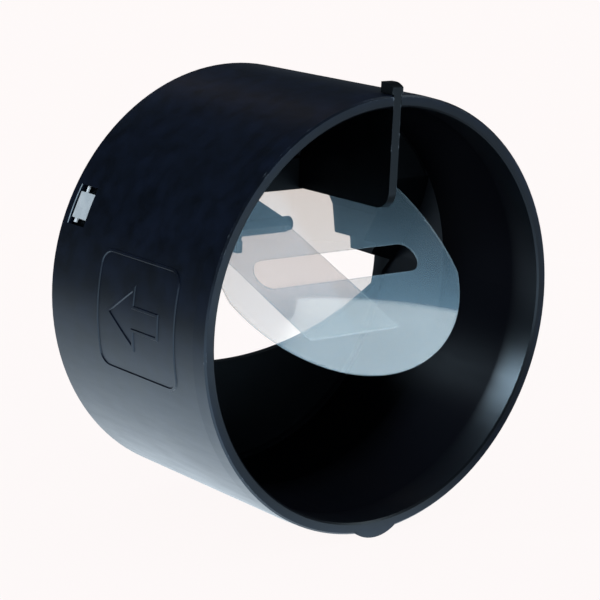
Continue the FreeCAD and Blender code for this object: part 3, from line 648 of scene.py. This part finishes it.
def floor_glow(n, place, away):
    """The floor's brightness in reflections: bright close by and in front, dim behind and at the
    right, with a darker patch before the object and a plain glow far ahead at the right. The dim
    right side and the darker patch are painted shadow of the object."""
    close = n.math("POWER", n.range(away, *CLOSE_SPAN, 1.0, 0.0), CLOSE_POWER)
    far = n.range(n.part(place, "Y"), *FAR_SPAN, *FAR_GLOW)
    glow = n.sum(n.product(close, CLOSE_GLOW), n.product(n.math("SUBTRACT", 1.0, close), far),
                 n.range(away, *AROUND_SPAN, AROUND_GLOW, 0.0))
    glow = n.product(glow, n.range(n.along(place, *ASIDE), *ASIDE_SPAN, *ASIDE_SHARES))
    before = n.measure("DISTANCE", place, SHADE_AT)
    glow = n.product(glow, n.range(before, *SHADE_SPAN, *SHADE_SHARES))
    return n.sum(glow, n.range(n.along(place, *AHEAD), *AHEAD_SPAN, 0.0, AHEAD_GLOW))


def floor_paper():
    material, n = new_material("floor_paper")
    place = n.add("ShaderNodeTexCoord").outputs["Object"]
    away = n.measure("LENGTH", place)
    path = n.add("ShaderNodeLightPath")
    shadow = n.range(away, *SHADOW_SPAN, SHADOW_SHARE, 0.0)
    seen = n.product(n.seen_directly(path), n.math("SUBTRACT", 1.0, shadow))
    paper = n.add("ShaderNodeBsdfDiffuse", {"Color": PAPER})
    shown = n.add("ShaderNodeEmission", {"Color": BACKGROUND, "Strength": 1.0})
    plain = n.mix_shader(seen, paper.outputs[0], shown.outputs[0])
    mirrored = n.add("ShaderNodeEmission", {
        "Color": COOL_WHITE, "Strength": floor_glow(n, place, away),
    })
    n.surface(n.mix_shader(path.outputs["Is Glossy Ray"], plain, mirrored.outputs[0]))
    return material


def make_floor():
    """A pale floor that shows as the photo's background, with a faint shadow."""
    mesh = bpy.data.meshes.new("floor")
    half = FLOOR_SIZE / 2
    level = cad_box[0][2] - FLOOR_GAP
    corners = ((-half, -half), (half, -half), (half, half), (-half, half))
    mesh.from_pydata([(x, y, level) for x, y in corners], [], [(0, 1, 2, 3)])
    mesh.materials.append(floor_paper())
    floor = bpy.data.objects.new("floor", mesh)
    link(floor)


# World

STUDIO = (0.73, 0.87, 1.0, 1.0)
STUDIO_STRENGTH = 1.2
HORIZON_SPAN = (0.0, 0.15)
HORIZON_GLOW = (0.16, 0.02)
STRIP_AT = 0.33
STRIP_SPAN = (0.03, 0.08)
STRIP_GLOW = 0.14
STRIP_HEIGHT_SPAN = (0.35, 0.45)
STRIP_TINT = (1.0, 0.75, 0.62, 1.0)
STRIP_TINT_SHARE = 6.0


def make_world():
    """The background's white to the camera and an even studio to matt surfaces. Gloss sees a
    backdrop that fades above the horizon, and a warm strip overhead, right of the middle."""
    world = bpy.data.worlds.new("studio")
    bpy.context.scene.world = world
    world.use_nodes = True
    n = Nodes(world.node_tree)
    direction = n.add("ShaderNodeTexCoord").outputs["Generated"]
    height = n.part(direction, "Z")
    path = n.add("ShaderNodeLightPath")
    studio = n.add("ShaderNodeBackground", {"Color": STUDIO, "Strength": STUDIO_STRENGTH})
    shown = n.add("ShaderNodeBackground", {"Color": BACKGROUND, "Strength": 1.0})
    aside = n.math("ABSOLUTE", n.math("SUBTRACT", n.part(direction, "X"), STRIP_AT))
    strip = n.product(n.range(aside, *STRIP_SPAN, STRIP_GLOW, 0.0),
                      n.range(height, *STRIP_HEIGHT_SPAN))
    mirrored = n.add("ShaderNodeBackground", {
        "Color": n.mix_colour(n.product(strip, STRIP_TINT_SHARE), COOL_WHITE, STRIP_TINT),
        "Strength": n.sum(n.range(height, *HORIZON_SPAN, *HORIZON_GLOW), strip),
    })
    unseen = n.mix_shader(path.outputs["Is Glossy Ray"], studio.outputs[0], mirrored.outputs[0])
    output = n.add("ShaderNodeOutputWorld")
    n.put(output.inputs["Surface"],
          n.mix_shader(n.seen_directly(path), unseen, shown.outputs[0]))


# Lights: a soft box where the flap mirrors it to the camera, a small lamp behind the duct that
# lights the inner wall along the front rim, and a weak one at the front.
# Each has its place, target, width, height, watts, colour and spread in degrees.

WIDE = 180.0
LAMPS = {
    "soft_box": ((1.101, -0.408, 1.095), (0.0, 0.0, 0.0), 0.6, 0.35, 1.63,
                 (0.90, 0.97, 0.96), WIDE),
    "back_lamp": ((-0.050, 0.106, 0.037), (0.050, -0.033, -0.028), 0.055, 0.105, 0.0128,
                  (0.74, 0.90, 1.0), 24.0),
    "front_fill": ((-0.9, -1.6, 0.5), (0.0, 0.0, 0.0), 1.2, 0.9, 1.0,
                   (0.92, 0.96, 1.0), WIDE),
}


def make_lights():
    for name, (at, target, width, height, watts, colour, spread) in LAMPS.items():
        light = bpy.data.lights.new(name, "AREA")
        light.shape = "RECTANGLE"
        light.size = width
        light.size_y = height
        light.energy = watts
        light.color = colour
        light.spread = math.radians(spread)
        lamp = bpy.data.objects.new(name, light)
        lamp.location = at
        direction = Vector(target) - Vector(at)
        lamp.rotation_euler = direction.to_track_quat("-Z", "Y").to_euler()
        link(lamp)


make_camera()
make_materials()
make_mark()
make_windows()
make_floor()
make_world()
make_lights()
bpy.context.scene.view_settings.view_transform = "Standard"
